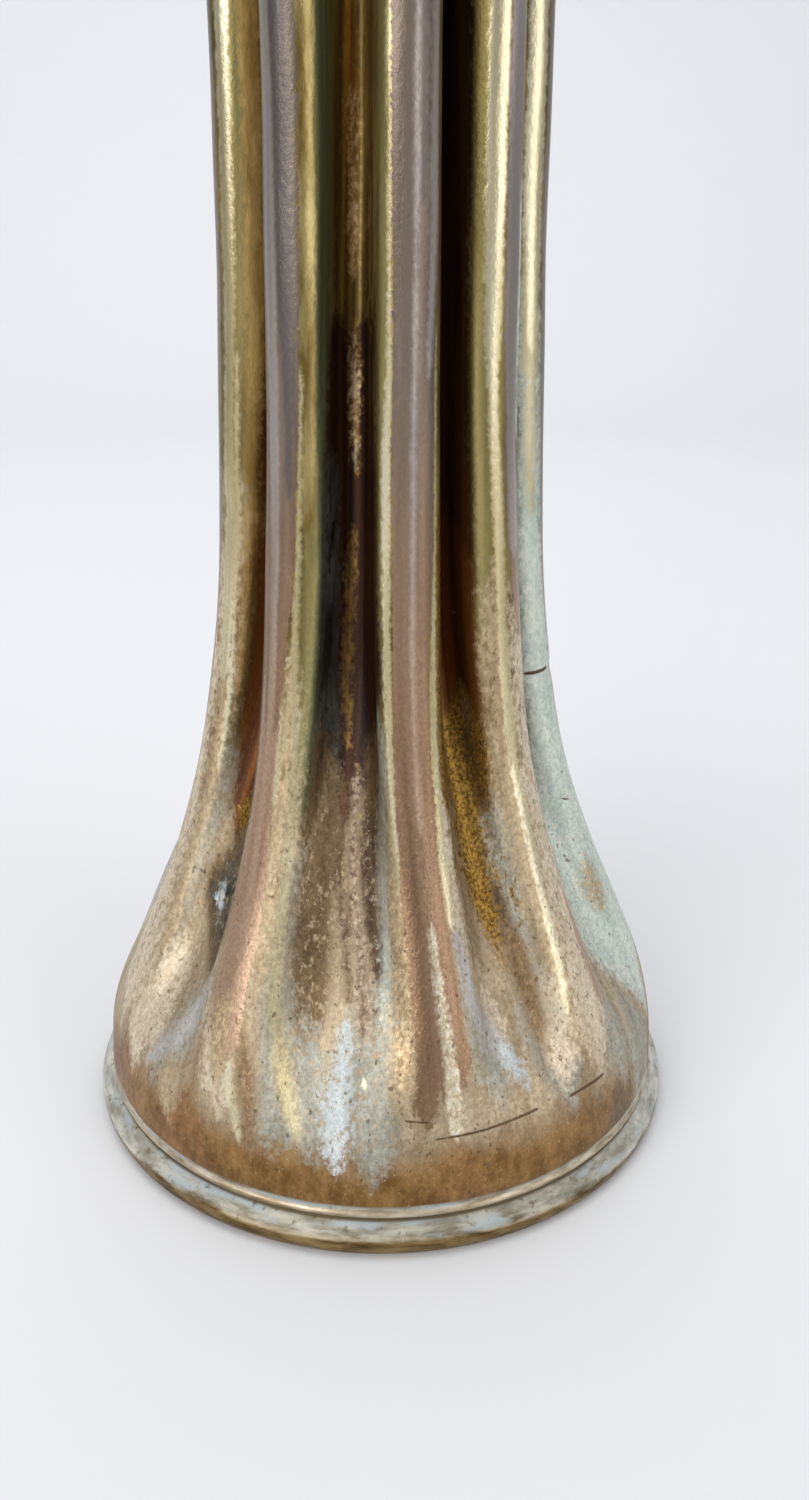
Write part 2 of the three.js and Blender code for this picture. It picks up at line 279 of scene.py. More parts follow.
def vase_grid():
    """Point arrays x, y, z (rows by columns, in mm) of the vase, and each row's zone and the turns."""
    rows = vase_rows()
    columns = len(RIBS) * COLUMNS_PER_FLUTE
    even = np.arange(columns) / COLUMNS_PER_FLUTE
    turn = even - CREST_CROWDING * np.sin(2 * math.pi * even) / (2 * math.pi)
    x = np.zeros((len(rows), columns))
    y = np.zeros_like(x)
    z = np.zeros_like(x)
    for i, (radius, height, inset, fluted, _) in enumerate(rows):
        z[i] = height
        if fluted:
            x[i], y[i] = inset_wall_point(height, turn, inset)
        else:
            plan_x, plan_y = wall_point(height, turn)
            scale = radius / np.hypot(plan_x, plan_y)
            x[i], y[i] = plan_x * scale, plan_y * scale
    zones = np.array([row[4] for row in rows])
    return x, y, z, zones, turn


def mesh_from_grid(name, x, y, z):
    """A mesh closed both ways round from grids of points in millimetres."""
    rows, columns = x.shape
    points = np.stack([x, y, z], axis=-1).reshape(-1, 3) * MM
    row = np.arange(rows)[:, None]
    column = np.arange(columns)[None, :]
    next_row = (row + 1) % rows
    next_column = (column + 1) % columns
    corners = [
        row * columns + column,
        row * columns + next_column,
        next_row * columns + next_column,
        next_row * columns + column,
    ]
    faces = np.stack([np.broadcast_to(c, (rows, columns)) for c in corners], axis=-1).reshape(-1, 4)
    mesh = bpy.data.meshes.new(name)
    mesh.from_pydata(points.tolist(), [], faces.tolist())
    mesh.shade_smooth()
    return mesh


# ---- Patina, with painted highlights and shade: where each finish lies on the unrolled wall ----

# Each finish, from the lowest layer up: the two colours that its grain runs between (0-255 display
# values), the grain, roughness, metallic, how far its edge wanders and how soft that edge is (both in
# mm), and how patchy it is.
# Some finishes are painted light, not the metal's own colour: highlights, sheen, reflections and shade,
# noted where they stand.
FINISHES = {
    # trough_patina_and_shade: near-black down the troughs, dark patina with painted shade and dark
    # reflection.
    "trough_patina_and_shade": ((32, 19, 11), (76, 46, 24), "brush", 0.42, 0.6, 1.2, 1.1, 0.0),
    "sienna": ((66, 36, 14), (112, 68, 30), "brush", 0.42, 0.7, 1.2, 1.2, 0.0),
    "slate": ((34, 32, 28), (92, 94, 86), "streak", 0.45, 0.5, 1.0, 0.9, 0.5),
    "bronze": ((74, 58, 32), (142, 120, 70), "brush", 0.38, 0.8, 1.0, 0.9, 0.15),
    "amber": ((88, 62, 22), (154, 120, 54), "grit", 0.42, 0.8, 1.2, 1.0, 0.0),
    # umber_stain_and_shade: brown stain, with painted shade darkening the valleys.
    "umber_stain_and_shade": ((84, 66, 46), (136, 114, 84), "worn", 0.45, 0.7, 1.2, 1.1, 0.1),
    # honey_and_reflection: golden brown on rib C's flank, partly painted light, and a painted golden
    # reflection line down the trough right of rib B.
    "honey_and_reflection": ((122, 90, 44), (186, 148, 88), "brush", 0.36, 0.9, 0.9, 0.8, 0.0),
    # brass: brighter brass on rib C's flank, partly painted light where the flank turns from the lamps.
    "brass": ((152, 118, 58), (218, 182, 112), "streak", 0.42, 0.5, 0.9, 0.9, 0.0),
    "rust": ((112, 80, 46), (156, 116, 74), "mottle", 0.45, 0.7, 2.0, 2.2, 0.15),
    "pine": ((82, 86, 60), (134, 138, 100), "brush", 0.4, 0.8, 0.7, 0.8, 0.0),
    "olive": ((112, 102, 60), (156, 144, 96), "brush", 0.4, 0.85, 0.6, 0.6, 0.0),
    "haze": ((130, 127, 112), (180, 179, 166), "worn", 0.5, 0.5, 1.6, 2.0, 0.3),
    "verdigris": ((164, 182, 174), (218, 220, 206), "worn", 0.5, 0.35, 1.6, 2.0, 0.0),
    "sand": ((148, 126, 94), (198, 178, 144), "worn", 0.46, 0.7, 1.4, 1.4, 0.2),
    "bone": ((184, 164, 134), (228, 214, 190), "worn", 0.42, 0.6, 1.4, 1.4, 0.25),
    "straw": ((176, 162, 124), (208, 198, 160), "streak", 0.42, 0.7, 0.7, 0.9, 0.1),
    "pearl": ((80, 64, 50), (164, 146, 126), "speck", 0.42, 0.7, 0.9, 0.8, 0.2),
    # walnut_valley_shade: painted shade, dark lines down the valleys.
    "walnut_valley_shade": ((60, 44, 28), (106, 82, 58), "streak", 0.45, 0.6, 1.0, 1.1, 0.1),
    # tan: painted shade on the valley sides beside the rib ends, and a brown spot on rib A.
    "tan": ((116, 92, 64), (156, 130, 98), "speck", 0.46, 0.7, 1.0, 1.1, 0.1),
    "mist": ((158, 152, 146), (190, 186, 182), "streak", 0.5, 0.4, 1.0, 1.1, 0.1),
    # gold_wear_and_highlight: worn bright brass on rib B's shoulder, with a painted highlight.
    "gold_wear_and_highlight": ((116, 96, 50), (182, 164, 112), "streak", 0.34, 0.95, 0.45, 0.4, 0.0),
    # cream_highlight_and_chip: painted highlight lines along the ribs' edges, and small pale chips of worn
    # brass.
    "cream_highlight_and_chip": ((180, 166, 124), (224, 214, 182), "brush", 0.28, 0.95, 0.4, 0.35, 0.0),
    "film": ((108, 98, 88), (140, 128, 116), "brush", 0.34, 0.85, 0.5, 0.16, 0.0),
    "film_deep": ((100, 88, 79), (132, 118, 106), "brush", 0.34, 0.85, 0.5, 0.16, 0.0),
    # film_dark_reflection: painted darker reflection streaks down the tarnish film on the crests.
    "film_dark_reflection": ((82, 77, 76), (106, 99, 96), "brush", 0.34, 0.85, 0.3, 0.5, 0.0),
    # film_sheen: painted sheen, lighter streaks down the tarnish film on the crests.
    "film_sheen": ((146, 136, 130), (174, 164, 158), "brush", 0.34, 0.85, 0.25, 0.4, 0.0),
    "glint": ((206, 188, 150), (238, 228, 204), "speck", 0.3, 0.9, 0.4, 0.4, 0.1),
    "fleck": ((164, 138, 102), (214, 192, 154), "speck", 0.38, 0.85, 1.0, 0.6, 0.5),
    "crust": ((30, 26, 20), (100, 92, 76), "mottle", 0.6, 0.3, 1.4, 0.7, 0.35),
    "chalk": ((170, 178, 178), (208, 214, 214), "streak", 0.6, 0.2, 1.4, 0.9, 0.12),
    "scratch": ((64, 44, 26), (92, 68, 42), "speck", 0.5, 0.5, 0.12, 0.12, 0.0),
}
# Low down the tarnish films, and the painted sheen on them, are warmer browns: two colours, and the heights
# between which they fade out.
LOW_TONES = {
    "film": ((158, 126, 102), (188, 158, 133), 56.0, 100.0),
    "film_deep": ((130, 103, 80), (158, 129, 104), 64.0, 112.0),
    "film_sheen": ((168, 138, 114), (196, 167, 143), 56.0, 100.0),
}

# A stroke is a finish, the rib it is measured from, and its edges at a few heights, top to bottom:
# (height, left girth, right girth), in millimetres. It tapers off at its first and last heights.
ABOVE_MOUTH = 420.0
BELOW_FOOT = -60.0
STROKES = [
    # Rib B and the flank and trough to its right.
    ("bronze", "B", [(ABOVE_MOUTH, 5.0, 18.0), (118, 5.0, 18.0), (110, 5.0, 18.0)]),
    ("trough_patina_and_shade", "B", [(117, 6.0, 17.0), (110, 5.0, 17.0), (96, 4.6, 17.0), (64, 5.6, 17.0), (50, 8.5, 14.0)]),
    ("slate", "B", [(98, 5.4, 9.6), (80, 5.4, 9.6), (58, 5.2, 10.5), (42, 7.4, 10.0)]),
    # A painted golden reflection line down the bottom of the trough.
    ("honey_and_reflection", "B", [(ABOVE_MOUTH, 11.0, 12.6), (130, 10.8, 12.6), (117, 11.2, 12.4)]),
    ("honey_and_reflection", "B", [(112, 11.5, 12.1), (104, 11.4, 12.2), (94, 11.6, 12.2)]),
    ("honey_and_reflection", "B", [(88, 11.4, 11.9), (76, 11.4, 11.9), (60, 11.3, 11.7)]),
    ("fleck", "B", [(136, 11.5, 12.0), (126, 11.5, 12.1), (118, 11.7, 12.0)]),
    ("fleck", "B", [(110, 11.6, 12.0), (104, 11.6, 12.0), (95, 11.7, 12.0)]),
    ("umber_stain_and_shade", "B", [(64, 3.8, 10.0), (48, 4.2, 11.0), (36, 6.0, 12.0), (24, 9.4, 14.0)]),
    ("pine", "B", [(ABOVE_MOUTH, 4.3, 7.6), (118, 4.3, 7.4), (96, 4.0, 5.8), (70, 3.6, 5.4),
                   (52, 3.8, 6.0)]),
    ("olive", "B", [(98, 3.2, 4.8), (80, 2.6, 4.8), (68, 1.8, 4.6), (56, 2.0, 4.2)]),
    ("sand", "B", [(72, 1.0, 3.0), (60, 0.8, 4.4), (48, 1.2, 4.8), (32, 2.0, 5.2)]),
    ("haze", "B", [(50, 3.4, 5.4), (36, 3.6, 6.4), (24, 6.0, 10.0), (12, 7.0, 12.0)]),
    ("gold_wear_and_highlight", "B", [(ABOVE_MOUTH, 2.6, 4.5), (118, 2.6, 4.4), (100, 2.8, 4.3), (88, 2.7, 4.0)]),
    ("straw", "B", [(66, 2.6, 3.6), (50, 3.1, 4.2), (40, 3.6, 5.0), (30, 5.0, 6.8), (22, 8.0, 10.4),
                    (15, 12, 14)]),
    ("cream_highlight_and_chip", "B", [(107, 2.4, 2.75), (90, 2.0, 2.6), (76, 1.8, 2.6), (62, 2.4, 3.1)]),
    ("cream_highlight_and_chip", "B", [(25, 0.0, 1.4), (20, 1.4, 2.8), (16, 3.2, 4.4), (13, 4.4, 5.2)]),
    ("sand", "B", [(34, -3.0, 2.6), (26, -3.5, 3.0), (16.5, -3.5, 4.0)]),
    ("sand", "B", [(20, -15.0, -4.0), (16, -15.0, -3.0), (11, -14.0, -2.0)]),
    ("bone", "B", [(31, -3.0, 1.2), (25, -2.8, 1.6), (19, -1.6, 2.0), (16, 0.0, 2.6)]),
    ("tan", "B", [(28, 1.6, 2.8), (22, 2.9, 5.6), (17, 4.8, 6.8), (12, 5.8, 7.0)]),
    ("film", "B", [(ABOVE_MOUTH, -3.2, 2.3), (100, -3.1, 2.3), (84, -2.8, 1.8), (72, -2.6, 1.1),
                   (60, -2.7, 0.5), (50, -2.9, 1.0), (42, -3.4, 1.6), (32, -3.2, 2.0), (27, -2.8, 2.6),
                   (21, -2.0, 3.4)]),
    ("film_deep", "B", [(ABOVE_MOUTH, -3.2, 2.3), (100, -3.1, 2.3), (84, -2.8, 1.8), (72, -2.6, 1.1),
                        (62, -1.4, 0.2)]),
    ("cream_highlight_and_chip", "B", [(67, 0.1, 1.3), (62, -0.2, 1.2), (54, 0.5, 1.3)]),
    ("film_dark_reflection", "B", [(ABOVE_MOUTH, -1.2, 1.2), (150, -0.8, 1.4), (120, -0.2, 1.6), (104, 0.3, 1.6),
                        (92, 0.7, 1.4)]),
    ("film_sheen", "B", [(ABOVE_MOUTH, -2.7, -1.3), (150, -2.6, -0.9), (110, -2.4, -0.4),
                         (84, -1.6, -0.3), (60, -1.3, -0.3), (44, -1.2, -0.2), (34, -1.0, -0.4)]),
    ("fleck", "B", [(31, -1.8, 0.4), (26, -2.2, 0.8), (20, -1.0, 1.4)]),
    ("rust", "B", [(19, -12.0, 5.0), (14, -14.0, 4.0), (BELOW_FOOT, -14.0, 4.0)]),
    # Trough 1, to the left of rib B.
    ("trough_patina_and_shade", "B", [(330, -17.0, -3.4), (100, -17.0, -3.6), (66, -15.0, -6.0), (56, -13.0, -9.0)]),
    ("sienna", "B", [(90, -6.0, -3.4), (66, -12.0, -3.2), (42, -15.5, -3.4)]),
    ("amber", "B", [(56, -15.0, -3.4), (50, -15.5, -3.4), (42, -15.0, -3.4)]),
    ("umber_stain_and_shade", "B", [(50, -13.5, -4.0), (40, -15.0, -4.0), (28, -13.0, -4.4)]),
    ("crust", "B", [(45, -14.5, -6.0), (42, -15.0, -5.0), (32, -14.5, -5.6)]),
    ("chalk", "B", [(39.5, -14.0, -9.0), (38, -14.2, -8.6), (36, -13.4, -9.0)]),
    ("haze", "B", [(33, -7.0, -3.8), (24, -11.0, -5.0), (15, -16.0, -9.0)]),
    ("mist", "B", [(31, -6.2, -4.0), (25, -9.2, -5.6), (20, -13.0, -9.0), (16, -16.0, -13.0)]),
    # Trough 2, between ribs B and A, measured from A.
    ("pearl", "A", [(57, -11.6, -10.5), (46, -11.9, -10.3), (36, -12.0, -10.1), (26, -12.0, -10.3)]),
    ("walnut_valley_shade", "A", [(56, -13.6, -11.9), (44, -13.6, -12.3), (30, -13.4, -12.5)]),
    ("umber_stain_and_shade", "A", [(60, -9.8, -7.6), (46, -9.6, -7.8), (30, -9.8, -7.4), (22, -9.4, -8.0)]),
    ("walnut_valley_shade", "A", [(64, -10.4, -7.4), (54, -10.2, -7.4), (42, -9.8, -7.8), (33, -9.8, -8.4)]),
    ("haze", "A", [(66, -7.4, -4.2), (50, -7.8, -4.6), (34, -9.0, -5.6), (16, -12.0, -6.0)]),
    ("haze", "A", [(30, -15.0, -10.0), (22, -15.5, -6.0), (15, -15.0, -6.0), (10, -13.0, -8.0)]),
    ("haze", "A", [(28, -18.5, -16.5), (24, -20.0, -16.0), (17, -20.5, -16.0), (12, -19.5, -16.5)]),
    ("verdigris", "A", [(38, -8.0, -6.6), (33, -8.2, -6.8), (27, -8.0, -6.8)]),
    ("chalk", "A", [(28.5, -13.6, -12.6), (26, -14.6, -12.4), (19, -16.6, -12.6), (14, -17.0, -13.4),
                    (11.5, -16.4, -14.0)]),
    # Rib A.
    ("trough_patina_and_shade", "A", [(117, -9.0, -5.2), (96, -12.0, -4.4), (72, -10.5, -4.6), (56, -10.4, -7.0)]),
    ("olive", "A", [(ABOVE_MOUTH, -4.6, -2.4), (118, -4.4, -2.4), (96, -4.4, -3.2), (80, -4.2, -3.0)]),
    ("cream_highlight_and_chip", "A", [(ABOVE_MOUTH, -3.0, -2.3), (108, -2.9, -2.3), (96, -3.7, -2.7), (60, -3.9, -2.8),
                    (44, -4.6, -3.5)]),
    ("sand", "A", [(52, -4.8, -3.0), (38, -6.0, -3.6), (28, -8.0, -4.0), (17, -8.0, -4.0)]),
    ("amber", "A", [(92, 3.4, 5.6), (60, 2.9, 6.0), (44, 3.8, 6.6)]),
    ("cream_highlight_and_chip", "A", [(112, 3.0, 3.3), (90, 2.9, 3.4), (74, 2.4, 3.3), (62, 1.8, 3.0), (52, 1.8, 2.9),
                    (40, 2.1, 3.4)]),
    ("bone", "A", [(54, 2.4, 4.2), (44, 2.8, 5.4), (36, 3.6, 7.0), (30, 5.0, 8.8), (24, 8.0, 11.0)]),
    ("haze", "A", [(34, 2.6, 5.0), (26, 3.6, 9.0), (18, 5.0, 10.0)]),
    ("mist", "A", [(40, 2.3, 3.8), (32, 3.4, 5.6), (26, 5.6, 8.4), (20, 10.0, 12.8)]),
    ("chalk", "A", [(25, 7.6, 9.4), (22, 8.6, 11.6), (19, 10.6, 12.4)]),
    ("tan", "A", [(23.5, -5.2, -3.4), (21, -5.4, -2.6), (18.5, -4.8, -2.4)]),
    ("film_deep", "A", [(ABOVE_MOUTH, -2.4, 4.4), (118, -2.3, 3.6), (106, -2.2, 2.9), (84, -2.4, 2.8),
                        (70, -2.6, 2.0), (50, -3.3, 1.8), (40, -3.9, 2.0), (30, -4.0, 2.3),
                        (25, -3.6, 2.9), (19, -3.0, 3.4)]),
    ("film_deep", "A", [(34, -4.1, -0.6), (26, -4.3, -0.8), (22, -4.6, -1.2), (17, -5.6, -1.6)]),
    ("film_dark_reflection", "A", [(ABOVE_MOUTH, 0.9, 1.9), (150, 0.9, 1.7), (124, 0.8, 1.3)]),
    ("film_sheen", "A", [(ABOVE_MOUTH, 2.2, 3.6), (122, 2.2, 3.3), (106, 1.8, 2.4)]),
    ("film_sheen", "A", [(ABOVE_MOUTH, 0.1, 0.7), (116, 0.1, 0.6), (96, -0.1, 0.4), (52, -0.5, 0.0)]),
    ("glint", "A", [(41, -0.6, 0.2), (36, -0.8, 0.3), (30, -0.9, 0.5), (24, -0.6, 1.1), (19, -0.6, 1.4),
                    (15, 0.0, 1.2)]),
    ("fleck", "A", [(46, -5.4, -3.9), (34, -6.4, -4.3), (20, -6.8, -4.6)]),
    ("rust", "A", [(15.5, -9.0, 10.0), (12, -9.0, 12.0), (BELOW_FOOT, -8.0, 11.0)]),
    # Trough 3, between ribs A and D, measured from D, and rib D.
    ("trough_patina_and_shade", "D", [(330, -18.0, -4.9), (110, -18.0, -4.9), (74, -16.0, -5.2), (60, -12.0, -6.2)]),
    ("sienna", "D", [(90, -14.0, -5.2), (74, -13.0, -5.0), (60, -12.0, -4.8), (52, -11.0, -5.0)]),
    ("amber", "D", [(68, -12.0, -4.6), (56, -12.0, -4.2), (44, -12.0, -4.4), (36, -11.0, -5.4),
                    (27, -9.5, -6.6)]),
    ("walnut_valley_shade", "D", [(67, -8.6, -7.4), (60, -8.8, -7.2), (52, -7.8, -6.9)]),
    ("tan", "D", [(38, -9.6, -6.2), (30, -9.4, -6.4), (23, -9.2, -7.4)]),
    ("walnut_valley_shade", "D", [(42, -8.4, -7.4), (33, -8.8, -7.6), (26, -9.2, -8.2), (20, -9.4, -9.0)]),
    ("olive", "D", [(ABOVE_MOUTH, -4.9, -3.0), (104, -4.9, -2.8), (88, -4.8, -1.2), (70, -4.4, -1.0)]),
    ("sand", "D", [(84, -4.4, -0.6), (60, -4.4, 0.6), (40, -5.0, 4.0), (16, -7.0, 6.0)]),
    ("bone", "D", [(80, 0.4, 3.2), (56, -0.8, 3.4), (40, -1.2, 4.2), (28, -2.8, 4.6), (17, -4.0, 4.0)]),
    ("bone", "D", [(32, -6.0, -3.4), (25, -9.0, -3.6), (17, -9.0, -4.0)]),
    ("haze", "D", [(54, -6.8, -3.2), (38, -8.0, -3.4), (24, -11.0, -3.0), (14, -10.0, -2.0)]),
    ("cream_highlight_and_chip", "D", [(ABOVE_MOUTH, -3.7, -1.2), (116, -3.6, -1.3), (104, -3.1, -1.8), (90, -2.6, -1.2),
                    (72, -2.2, -0.8), (50, -2.1, -0.6), (36, -2.8, -1.4), (26, -4.2, -3.0)]),
    ("film", "D", [(ABOVE_MOUTH, -1.1, 2.4), (110, -1.0, 1.4), (98, -0.8, 1.6), (90, -0.6, 2.4),
                   (80, 0.2, 2.4), (74, 1.4, 2.4)]),
    ("film", "D", [(40, 2.6, 3.2), (32, 2.2, 4.2), (24, 3.4, 5.0)]),
    ("film_sheen", "D", [(ABOVE_MOUTH, -1.0, 2.4), (112, -0.9, 1.4), (96, -0.4, 1.6), (84, -0.3, 2.0)]),
    ("verdigris", "D", [(127, 0.9, 4.2), (112, 1.0, 4.6), (98, 1.2, 4.4)]),
    ("glint", "D", [(58, -2.1, -1.5), (44, -2.0, -1.4), (34, -2.6, -2.0), (27, -3.6, -3.1)]),
    ("haze", "D", [(27, 2.5, 7.0), (19, 2.0, 9.0), (12, 3.0, 9.0)]),
    ("haze", "D", [(22, 8.0, 16.0), (15, 9.0, 18.0), (BELOW_FOOT, 10.0, 18.0)]),
    ("umber_stain_and_shade", "D", [(14, -2.0, 10.0), (11, -3.0, 11.0), (BELOW_FOOT, -2.0, 11.0)]),
    # Rib E.
    ("trough_patina_and_shade", "E", [(330, -14.0, -5.6), (100, -13.5, -5.6), (74, -12.0, -6.6)]),
    ("verdigris", "E", [(118, -5.8, -3.2), (96, -5.8, -1.4), (60, -7.0, 0.0), (40, -11.0, 2.0),
                        (24, -13.0, 3.0), (15, -12.0, 3.0)]),
    ("straw", "E", [(124, -5.4, -2.6), (108, -5.0, -2.6), (88, -4.2, -3.0)]),
    ("cream_highlight_and_chip", "E", [(ABOVE_MOUTH, -5.0, -2.2), (124, -4.9, -2.4), (108, -4.2, -3.0)]),
    ("sand", "E", [(40, -5.0, -3.4), (35, -6.6, -3.6), (31, -6.4, -4.6)]),
    ("film", "E", [(ABOVE_MOUTH, -2.2, 2.6), (100, -1.8, 2.6), (76, -0.9, 2.6), (52, 0.6, 2.8),
                   (30, 1.4, 2.8)]),
    # Rib C.
    ("sienna", "C", [(104, 6.8, 10.0), (84, 6.8, 10.4), (66, 6.4, 13.0), (56, 6.4, 14.5), (43, 7.4, 14.0)]),
    ("honey_and_reflection", "C", [(ABOVE_MOUTH, 4.2, 8.4), (118, 4.2, 8.2), (96, 4.6, 7.2), (80, 4.9, 7.0),
                    (64, 5.2, 6.4)]),
    # Painted light: brighter brass where rib C's flank turns from the lamps.
    ("brass", "C", [(ABOVE_MOUTH, 4.8, 8.2), (118, 4.8, 7.8), (98, 4.8, 6.8), (82, 4.9, 6.0)]),
    ("olive", "C", [(ABOVE_MOUTH, 3.6, 5.0), (110, 4.0, 5.2), (88, 4.4, 5.4)]),
    ("sand", "C", [(96, 1.0, 5.2), (60, 0.6, 5.6), (44, -2.0, 5.0), (16, -5.0, 6.0)]),
    ("bone", "C", [(84, 0.6, 2.4), (56, -0.6, 1.8), (40, -1.0, 2.0), (28, -3.0, 4.0), (17, -4.4, 5.0)]),
    ("bone", "C", [(32, 6.0, 8.0), (26, 5.0, 10.5), (18, 3.0, 11.0), (13, 3.0, 11.0)]),
    ("cream_highlight_and_chip", "C", [(ABOVE_MOUTH, 1.7, 3.9), (118, 2.4, 4.1), (100, 2.4, 3.8), (84, 2.2, 4.2),
                    (66, 2.6, 4.4)]),
    ("cream_highlight_and_chip", "C", [(108, 4.0, 4.5), (84, 4.1, 4.6), (54, 4.6, 5.2)]),
    ("haze", "C", [(58, 4.8, 7.0), (40, 3.0, 6.0), (24, 1.0, 6.0)]),
    ("rust", "C", [(18, -4.0, 12.0), (13, -5.0, 12.0), (BELOW_FOOT, -5.0, 12.0)]),
    ("film", "C", [(ABOVE_MOUTH, -3.4, 1.7), (110, -3.4, 1.5), (80, -3.2, 1.0), (60, -3.0, 0.2),
                   (44, -2.6, -0.6)]),
]

# The ribs at the back carry the finishes of a front rib: which one, -1 where mirrored, and mm moved up.
BACK_RIBS = {"F": ("A", -1, 4.0), "G": ("B", 1, -3.0), "H": ("D", -1, 5.0), "I": ("A", 1, -4.0)}

# Chips: a finish, the rib, girth, height, half-width and half-height.
CHIPS = [
    ("cream_highlight_and_chip", "B", 1.9, 111.2, 0.4, 0.7),
    ("cream_highlight_and_chip", "B", 0.2, 72.2, 0.8, 0.9),
    ("pearl", "D", -9.0, 77.2, 0.5, 0.5),
    ("cream_highlight_and_chip", "A", -11.0, 22.2, 0.5, 0.8),
    ("cream_highlight_and_chip", "B", 11.8, 117.8, 0.3, 1.2),
    ("cream_highlight_and_chip", "B", 11.8, 105.4, 0.25, 2.0),
    ("cream_highlight_and_chip", "B", 11.8, 96.2, 0.3, 1.6),
]

# Scratches and cracks: the rib, from and to girth, height at the left end, rise per mm, and half-width.
SCRATCHES = [
    ("A", -2.6, 12.4, 16.0, 0.03, 0.16),
    ("A", -6.2, -2.8, 18.6, -0.12, 0.14),
    ("D", -7.0, 0.4, 16.2, 0.03, 0.2),
    ("E", -5.8, -1.6, 66.8, 0.08, 0.22),
    ("E", -4.6, -3.0, 48.6, -0.3, 0.16),
    ("D", -10.8, -6.0, 61.6, 0.1, 0.1),
    ("D", -9.6, -6.6, 58.0, -0.08, 0.1),
]

FAR = 30.0  # mm, for "away from any stroke"
NEAR = 1.8  # mm outside a stroke where its edge still matters
TAPER = 0.6  # mm of half-width gained per mm from a stroke's end


def unrolled_girth(x, y, rib):
    """Signed distance along each row, in mm, from the crest of the rib at index `rib`, wrapping half-way."""
    steps = np.hypot(np.roll(x, -1, axis=1) - x, np.roll(y, -1, axis=1) - y)
    total = steps.sum(axis=1, keepdims=True)
    along = np.cumsum(steps, axis=1) - steps
    crest = rib * COLUMNS_PER_FLUTE
    girth = along - along[:, crest : crest + 1]
    return (girth + total / 2) % total - total / 2


def all_strokes():
    """Every stroke as (field, rib, heights, lefts, rights), with heights rising, back ribs included.

    A finish has two fields, and its strokes take turns, so that neighbours don't share one.
    """
    front = []
    laid = dict.fromkeys(FINISHES, 0)
    for finish, rib, edges in STROKES:
        heights, lefts, rights = np.array(edges[::-1], float).T
        front.append((f"{finish}_{laid[finish] % 2}", rib, heights, lefts, rights))
        laid[finish] += 1
    back = []
    for rib, (like, way, lift) in BACK_RIBS.items():
        for field, front_rib, heights, lefts, rights in front:
            if front_rib == like:
                sides = (lefts, rights) if way > 0 else (-rights, -lefts)
                back.append((field, rib, heights + lift, *sides))
    return front + back


def finish_fields(field, z, strokes, girths):
    """Offset from the middle of the nearest stroke of this field, and its half-width, in mm, at each point.

    The two are kept apart because each runs evenly from column to column, so a stroke may be narrower than
    a column. Half-width is -FAR away from any stroke.
    """
    offset = np.full(z.shape, FAR)
    half = np.full(z.shape, -FAR)
    best = np.full(z.shape, -FAR)

    def lay(stroke_offset, stroke_half):
        inside = stroke_half - np.abs(stroke_offset)
        nearer = (inside > best) & (inside > -NEAR)
        offset[nearer] = stroke_offset[nearer]
        half[nearer] = stroke_half[nearer]
        best[nearer] = inside[nearer]

    for kind, rib, heights, lefts, rights in strokes:
        if kind != field:
            continue
        left = np.interp(z, heights, lefts)
        right = np.interp(z, heights, rights)
        ends = np.minimum(heights[-1] - z, z - heights[0]) * TAPER
        lay(girths[rib] - (left + right) / 2, np.minimum((right - left) / 2, ends))
    for kind, rib, girth, height, half_width, half_height in CHIPS:
        if kind + "_0" == field:
            level = 1 - ((z - height) / half_height) ** 2
            lay(girths[rib] - girth, half_width * np.maximum(level, -FAR))
    if field == "scratch_0":
        for rib, start, end, height, rise, half_width in SCRATCHES:
            ends = np.minimum(girths[rib] - start, end - girths[rib]) * TAPER
            lay(z - height - rise * (girths[rib] - start), np.minimum(half_width, ends))
    return offset, half


def add_field(mesh, name, values):
    attribute = mesh.attributes.new(name, "FLOAT", "POINT")
    attribute.data.foreach_set("value", np.ascontiguousarray(values, dtype=np.float32).ravel())


# ---- Node helpers ----


def new_material(name):
    material = bpy.data.materials.new(name)
    material.use_nodes = True
    material.node_tree.nodes.clear()
    return material, material.node_tree


def plug(tree, socket, value):
    """Sets an input to a plain value, or links it from another node's output."""
    if isinstance(value, bpy.types.NodeSocket):
        tree.links.new(value, socket)
    elif value is not None:
        socket.default_value = value


def colour(red, green, blue):
    """A linear colour from 0-255 display values."""
    gamma = 2.2
    return tuple((value / 255) ** gamma for value in (red, green, blue)) + (1.0,)


def attribute(tree, name):
    node = tree.nodes.new("ShaderNodeAttribute")
    node.attribute_name = name
    return node.outputs["Fac"]


def math_node(tree, operation, a, b=None):
    node = tree.nodes.new("ShaderNodeMath")
    node.operation = operation
    plug(tree, node.inputs[0], a)
    plug(tree, node.inputs[1], b)
    return node.outputs[0]


def noise(tree, size_mm, detail=3.0, stretch=1.0, roughness=0.55, shift=0.0, along_ribs=False):
    """Noise in 3-D whose features are about size_mm across, and `stretch` times as tall. 0 to 1.

    With along_ribs, the noise is laid on the wall as if its ribs stood straight, so streaks follow them.
    """
    if along_ribs:
        place = tree.nodes.new("ShaderNodeAttribute")
        place.attribute_name = "straightened"
        vector = place.outputs["Vector"]
    else:
        vector = tree.nodes.new("ShaderNodeTexCoord").outputs["Object"]
    mapping = tree.nodes.new("ShaderNodeMapping")
    scale = 1.0 / (size_mm * MM)
    mapping.inputs["Scale"].default_value = (scale, scale, scale / stretch)
    mapping.inputs["Location"].default_value = (shift, shift * 0.7, shift * 1.3)
    tree.links.new(vector, mapping.inputs["Vector"])
    node = tree.nodes.new("ShaderNodeTexNoise")
    node.inputs["Scale"].default_value = 1.0
    node.inputs["Detail"].default_value = detail
    node.inputs["Roughness"].default_value = roughness
    tree.links.new(mapping.outputs["Vector"], node.inputs["Vector"])
    return node.outputs["Fac"]


